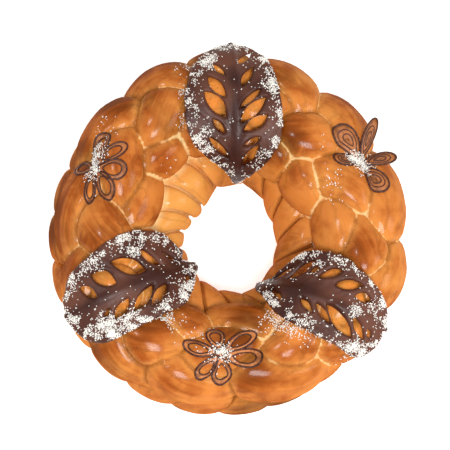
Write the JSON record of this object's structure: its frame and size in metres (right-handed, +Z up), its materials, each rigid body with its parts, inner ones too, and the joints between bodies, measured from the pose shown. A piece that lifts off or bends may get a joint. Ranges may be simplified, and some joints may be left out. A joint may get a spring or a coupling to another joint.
{
  "type": "braided sweet bread wreath",
  "caption": "Ring-shaped plaited sweet bread with a centre hole, decorated with chocolate leaves, piped chocolate flowers and white flakes.",
  "frame": {"origin": "on the surface that the loaf stands on, under the middle of its overall width and depth", "axes": "+Z up through the hole of the ring, +Y towards the leaf at the picture's top, +X towards the picture's right"},
  "size_m": [0.2824, 0.2946, 0.0929],
  "materials": {
    "crust": "egg-washed crust",
    "chocolate": "set chocolate with white flakes"
  },
  "bodies": {
    "root": {"bread": "crust", "leaf_north": "chocolate", "leaf_west": "chocolate", "leaf_east": "chocolate", "flower_south": "chocolate", "flower_northwest": "chocolate", "flower_northeast": "chocolate"}
  },
  "joints": []
}
